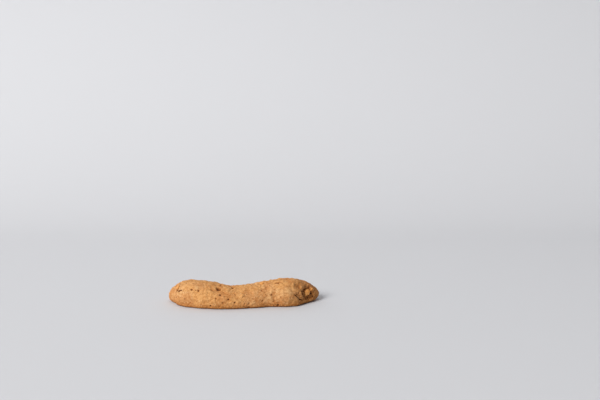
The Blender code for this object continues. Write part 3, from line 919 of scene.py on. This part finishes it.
    # out along the normal, and never below the tray
    normal = addNode(tree, "GeometryNodeInputNormal")
    offset = addNode(tree, "ShaderNodeVectorMath", {0: normal, 3: relief}, operation="SCALE")
    level = addNode(tree, "ShaderNodeVectorMath", {0: normal, 1: (-1.0, -1.0, 0.0)}, operation="MULTIPLY")
    level = addNode(tree, "ShaderNodeVectorMath", {0: level, 3: undercut}, operation="SCALE")
    offset = addNode(tree, "ShaderNodeVectorMath", {0: offset, 1: level}, operation="ADD")
    geometry = addNode(tree, "GeometryNodeSetPosition", {0: geometry, 3: offset})
    x, y, z = addNode(tree, "ShaderNodeSeparateXYZ", {0: place}).node.outputs
    z = addNode(tree, "ShaderNodeMath", {0: z, 1: 0.0}, operation="MAXIMUM")
    grounded = addNode(tree, "ShaderNodeCombineXYZ", {0: x, 1: y, 2: z})
    geometry = addNode(tree, "GeometryNodeSetPosition", {0: geometry, 2: grounded})
    shaded = addNode(tree, "GeometryNodeSetShadeSmooth", {0: geometry})
    closeTree(tree, shaded, given["Material"])
    return tree


def makeCrust(material, largeNuts):
    # the node's triangles are loose, so they are merged before the fine mesh is made from them
    form = bmesh.new()
    form.from_mesh(frame["nodes"]["hazelnut_cookie"].data)
    bmesh.ops.remove_doubles(form, verts=form.verts, dist=0.002 * mm)
    piece = newObject("crust", meshFrom("crust", form))
    fine = piece.modifiers.new("fineMesh", "REMESH")
    fine.mode = "VOXEL"
    fine.voxel_size = crust["voxel"] * mm
    plainPiece(piece)
    bpy.context.view_layer.update()
    marks = bakingMarks(piece)
    places, radii = zip(*crust["hollows"])
    hollows = pointObject("hollows", [onCrust(piece, *place) for place in places], {"radius": radii})
    values = {label: length * mm for label, length in crust["lengths"].items()}
    values.update({"Pore Share": crust["poreShare"], "Rounds": crust["rounds"]})
    values.update({"Marks": marks, "Hollows": hollows, "Nuts": largeNuts, "Material": material})
    runTree(piece, crustTree(values), values)
    bpy.data.objects.remove(marks)
    bpy.data.objects.remove(hollows)
    return piece


# Crumbs of nut and flakes of nut skin, strewn over the crust and half sunk in it

strewn = {
    "nutCrumbs": {
        "corners": 12,
        "halfSizes": (1.0, 0.8, 0.7),   # in shares of a crumb's own size
        "scale": (0.15, 0.45),          # the smallest and the largest
        "spacing": 2.6,
        "sink": 0.12,
        "seed": 21,
    },
    "skinFlakes": {
        "corners": 9,
        "halfSizes": (1.0, 0.7, 0.2),
        "scale": (0.25, 0.55),
        "spacing": 5.5,
        "sink": 0.02,
        "seed": 33,
    },
    "shapesOfEach": 5,
    "lowest": 1.0,                      # nothing lies lower than this
    "mostPerSquareMetre": 4.0e6,        # high enough for the spacing to decide how many there are
}


def strewTree(values):
    tree, given = geometryTree("strewnOnCrust", values)
    surface = addNode(tree, "GeometryNodeObjectInfo", {0: given["Surface"]}, give=4)
    place = addNode(tree, "GeometryNodeInputPosition")
    height = addNode(tree, "ShaderNodeSeparateXYZ", {0: place}, give=2)
    above = addNode(tree, "ShaderNodeMath", {0: height, 1: given["Lowest"]}, operation="GREATER_THAN")
    points, normal, rotation = addNode(tree, "GeometryNodeDistributePointsOnFaces", {
        0: surface, 2: given["Spacing"], 3: given["Density"], 5: above, 6: given["Seed"],
    }, distribute_method="POISSON").node.outputs[:3]
    sink = addNode(tree, "ShaderNodeMath", {0: given["Sink"], 1: -1.0}, operation="MULTIPLY")
    offset = addNode(tree, "ShaderNodeVectorMath", {0: normal, 3: sink}, operation="SCALE")
    sunk = addNode(tree, "GeometryNodeSetPosition", {0: points, 3: offset})
    shapes = addNode(tree, "GeometryNodeCollectionInfo", {0: given["Shapes"], 1: True, 2: True})
    pick = addNode(tree, "FunctionNodeRandomValue", {
        4: 0, 5: strewn["shapesOfEach"] - 1, 8: given["Seed"],
    }, give=2, data_type="INT")
    size = addNode(tree, "FunctionNodeRandomValue", {2: given["Smallest"], 3: given["Largest"]}, give=1)
    spin = addNode(tree, "FunctionNodeRandomValue", {2: 0.0, 3: 2 * math.pi, 8: 1}, give=1)
    about = addNode(tree, "FunctionNodeAxisAngleToRotation", {0: (0.0, 0.0, 1.0), 1: spin})
    turned = addNode(tree, "FunctionNodeRotateRotation", {0: rotation, 1: about}, rotation_space="LOCAL")
    placed = addNode(tree, "GeometryNodeInstanceOnPoints", {
        0: sunk, 2: shapes, 3: True, 4: pick, 5: turned, 6: size,
    })
    closeTree(tree, placed, given["Material"])
    return tree


def strewOver(name, surface, material):
    plan = strewn[name]
    draw = random.Random(plan["seed"])
    shapes = bpy.data.collections.new(name + "Shapes")
    bpy.context.scene.collection.children.link(shapes)
    for k in range(strewn["shapesOfEach"]):
        shape = meshFrom(f"{name}Shape{k}", brokenPiece(plan["halfSizes"], plan["corners"], draw))
        shapes.objects.link(bpy.data.objects.new(shape.name, shape))
    smallest, largest = plan["scale"]
    values = {
        "Surface": surface, "Shapes": shapes, "Spacing": plan["spacing"] * mm,
        "Density": strewn["mostPerSquareMetre"], "Smallest": smallest * mm, "Largest": largest * mm,
        "Sink": plan["sink"] * mm, "Lowest": strewn["lowest"] * mm, "Seed": plan["seed"],
        "Material": material,
    }
    piece = newObject(name, bpy.data.meshes.new(name))
    runTree(piece, strewTree(values), values)
    for shape in list(shapes.objects):
        bpy.data.objects.remove(shape)
    bpy.data.collections.remove(shapes)
    return piece


# The stage, the lights and the camera

sweep = {                               # in metres
    "width": 12.0,
    "front": -3.0,
    "bend": 0.20,
    "radius": 0.30,
    "top": 1.6,
    "steps": 24,                        # in the bend
}


def makeSweep():
    # a seamless sheet of paper: flat under the cookie, a wide bend behind it, and up
    profile = [(sweep["front"], 0.0)]
    for k in range(sweep["steps"] + 1):
        angle = math.pi / 2 * k / sweep["steps"]
        back = sweep["bend"] + sweep["radius"] * math.sin(angle)
        profile.append((back, sweep["radius"] * (1 - math.cos(angle))))
    profile.append((sweep["bend"] + sweep["radius"], sweep["top"]))
    half = sweep["width"] / 2
    points = [(side * half, y, z) for y, z in profile for side in (-1, 1)]
    faces = [(2 * k, 2 * k + 1, 2 * k + 3, 2 * k + 2) for k in range(len(profile) - 1)]
    mesh = bpy.data.meshes.new("paperSweep")
    mesh.from_pydata(points, [], faces)
    mesh.shade_smooth()
    mesh.materials.append(matteSweepPaper())
    newObject("paperSweep", mesh)


lights = {                              # azimuth from the front, elevation, distance, size, watts
    "key": (-41.0, 34.0, 4.00, 1.80, 172.0),        # a large softbox on the left
    "overhead": (0.0, 82.0, 1.20, 1.00, 1.8),
}
room = {"color": "#f3f6fb", "strength": 0.20}


def makeLights():
    for name, (azimuth, elevation, distance, size, power) in lights.items():
        data = bpy.data.lights.new(name, "AREA")
        data.energy = power
        data.size = size
        lamp = newObject(name, data)
        a, e = math.radians(azimuth), math.radians(elevation)
        way = Vector((math.sin(a) * math.cos(e), -math.cos(a) * math.cos(e), math.sin(e)))
        lamp.location = way * distance
        lamp.rotation_euler = (-lamp.location).to_track_quat("-Z", "Y").to_euler()
    world = bpy.data.worlds.new("room")
    world.use_nodes = True
    background = world.node_tree.nodes["Background"]
    background.inputs[0].default_value = linearColor(room["color"])
    background.inputs[1].default_value = room["strength"]
    bpy.context.scene.world = world
    bpy.context.scene.view_settings.view_transform = "Standard"


def makeCamera():
    data = bpy.data.cameras.new("camera")
    data.lens = view["lens"]
    data.clip_start = 0.01
    camera = newObject("camera", data)
    camera.location = Vector(view["place"]) * mm
    camera.rotation_euler = (math.radians(90.0 - view["pitchDown"]), 0.0, -math.radians(view["turnRight"]))
    bpy.context.scene.camera = camera


makeCamera()
makeLights()
makeSweep()
print("stage, lights and camera are set")
dustyNut = hazelnutMeat("dustyHazelnut")
largeNuts, choppedNut = makeNuts(hazelnutMeat("roastedHazelnut"), dustyNut)
cookie = makeCrust(bakedNutDough(), largeNuts)
crumbs = strewOver("nutCrumbs", cookie, dustyNut)
flakes = strewOver("skinFlakes", cookie, hazelnutSkin())
for piece in (cookie, largeNuts, choppedNut, crumbs, flakes):
    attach(piece, "root")
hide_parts("hazelnut_cookie")
